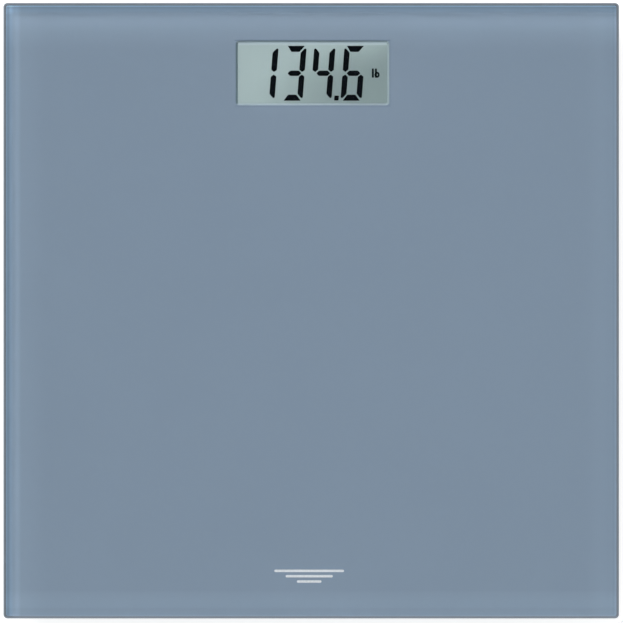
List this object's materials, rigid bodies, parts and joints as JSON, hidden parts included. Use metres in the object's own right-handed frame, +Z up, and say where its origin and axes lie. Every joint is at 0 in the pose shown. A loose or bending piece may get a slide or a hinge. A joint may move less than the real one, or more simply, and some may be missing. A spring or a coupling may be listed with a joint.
{
  "type": "digital platform scale",
  "caption": "Square glass-platform digital weighing scale with a back-coated blue top, an LCD set under the glass, load-cell feet and a battery door underneath.",
  "frame": {"origin": "centre of the footprint, on the floor under the rubber pads", "axes": "+Z up, +Y towards the edge with the display, +X to the right of a user who reads the display upright"},
  "size_m": [0.3, 0.3, 0.023],
  "materials": {
    "clear_glass": "polished toughened float glass, faintly grey-green",
    "blue_backing": "slate-blue coat on the underside of the glass",
    "grey_plastic": "fine-grained satin silver-grey ABS",
    "bezel_plastic": "satin grey-blue plastic",
    "pad_rubber": "matt dark grey non-slip rubber",
    "foam_tape": "matt black double-sided foam tape",
    "cell_steel": "nickel-plated spring steel, stamped",
    "sealant": "white silicone",
    "circuit_board": "green solder mask on glass-fibre board",
    "black_epoxy": "glossy black epoxy",
    "black_plastic": "satin black plastic",
    "button_plastic": "satin dark grey plastic",
    "screw_steel": "zinc-plated steel",
    "contact_steel": "nickel-plated spring steel",
    "cell_sleeve": "plain teal battery sleeve with steel ends",
    "lcd_glass": "thin display glass",
    "polariser": "grey-green polariser, low gloss",
    "reflector": "pale grey-green reflective film",
    "zebra_rubber": "pink and black layered silicone",
    "holder_plastic": "white ABS",
    "red_lead": "red PVC insulation",
    "black_lead": "black PVC insulation",
    "white_lead": "white PVC insulation"
  },
  "bodies": {
    "platform": {"platform_glass": "clear_glass", "colour_backing": "blue_backing", "window_bezel": "bezel_plastic", "lcd_front_polariser": "polariser", "lcd_front_glass": "lcd_glass", "lcd_rear_glass": "lcd_glass", "lcd_reflector": "reflector", "zebra_strip": "zebra_rubber", "lcd_holder": "holder_plastic", "main_pcb": "circuit_board", "chip_blob": "black_epoxy", "display_screws": "screw_steel", "tact_switch": "black_plastic", "display_tray": "grey_plastic", "tray_tape": "foam_tape", "battery_front": "cell_sleeve", "battery_rear": "cell_sleeve", "battery_plate_contact": "contact_steel", "battery_spring_contact": "contact_steel", "battery_bridge_contact": "contact_steel", "foot_tapes": "foam_tape", "strain_gauges": "sealant", "leads_red": "red_lead", "leads_black": "black_lead", "leads_white": "white_lead", "battery_lead_red": "red_lead", "battery_lead_black": "black_lead", "foot_housing_front_left": "grey_plastic", "load_cell_front_left": "cell_steel", "wire_channel_front_left": "grey_plastic", "foot_housing_front_right": "grey_plastic", "load_cell_front_right": "cell_steel", "wire_channel_front_right": "grey_plastic", "foot_housing_rear_left": "grey_plastic", "load_cell_rear_left": "cell_steel", "wire_channel_rear_left": "grey_plastic", "foot_housing_rear_right": "grey_plastic", "load_cell_rear_right": "cell_steel", "wire_channel_rear_right": "grey_plastic"},
    "foot_front_left": {"foot_cap_front_left": "grey_plastic", "foot_pad_front_left": "pad_rubber"},
    "foot_front_right": {"foot_cap_front_right": "grey_plastic", "foot_pad_front_right": "pad_rubber"},
    "foot_rear_left": {"foot_cap_rear_left": "grey_plastic", "foot_pad_rear_left": "pad_rubber"},
    "foot_rear_right": {"foot_cap_rear_right": "grey_plastic", "foot_pad_rear_right": "pad_rubber"},
    "button": {"unit_button": "button_plastic", "switch_plunger": "black_plastic"},
    "door": {"battery_door": "grey_plastic"}
  },
  "joints": [
    {"name": "foot_slide_front_left", "type": "slide", "parent": "platform", "child": "foot_front_left", "axis": [0, 0, 1], "range_m": [0, 0.0008], "stiffness_N_per_m": 2000, "springref_m": -0.0025, "deforming": ["load_cell_front_left"]},
    {"name": "foot_slide_front_right", "type": "slide", "parent": "platform", "child": "foot_front_right", "axis": [0, 0, 1], "range_m": [0, 0.0008], "stiffness_N_per_m": 2000, "springref_m": -0.0025, "deforming": ["load_cell_front_right"]},
    {"name": "foot_slide_rear_left", "type": "slide", "parent": "platform", "child": "foot_rear_left", "axis": [0, 0, 1], "range_m": [0, 0.0008], "stiffness_N_per_m": 2000, "springref_m": -0.0025, "deforming": ["load_cell_rear_left"]},
    {"name": "foot_slide_rear_right", "type": "slide", "parent": "platform", "child": "foot_rear_right", "axis": [0, 0, 1], "range_m": [0, 0.0008], "stiffness_N_per_m": 2000, "springref_m": -0.0025, "deforming": ["load_cell_rear_right"]},
    {"name": "unit_button_press", "type": "slide", "parent": "platform", "child": "button", "axis": [0, 0, 1], "range_m": [0, 0.0005], "stiffness_N_per_m": 3000, "springref_m": -0.0001},
    {"name": "battery_door_hinge", "type": "hinge", "parent": "platform", "child": "door", "pos_m": [0, 0.0915, 0.0044], "axis": [1, 0, 0], "range_deg": [0, 100]}
  ]
}
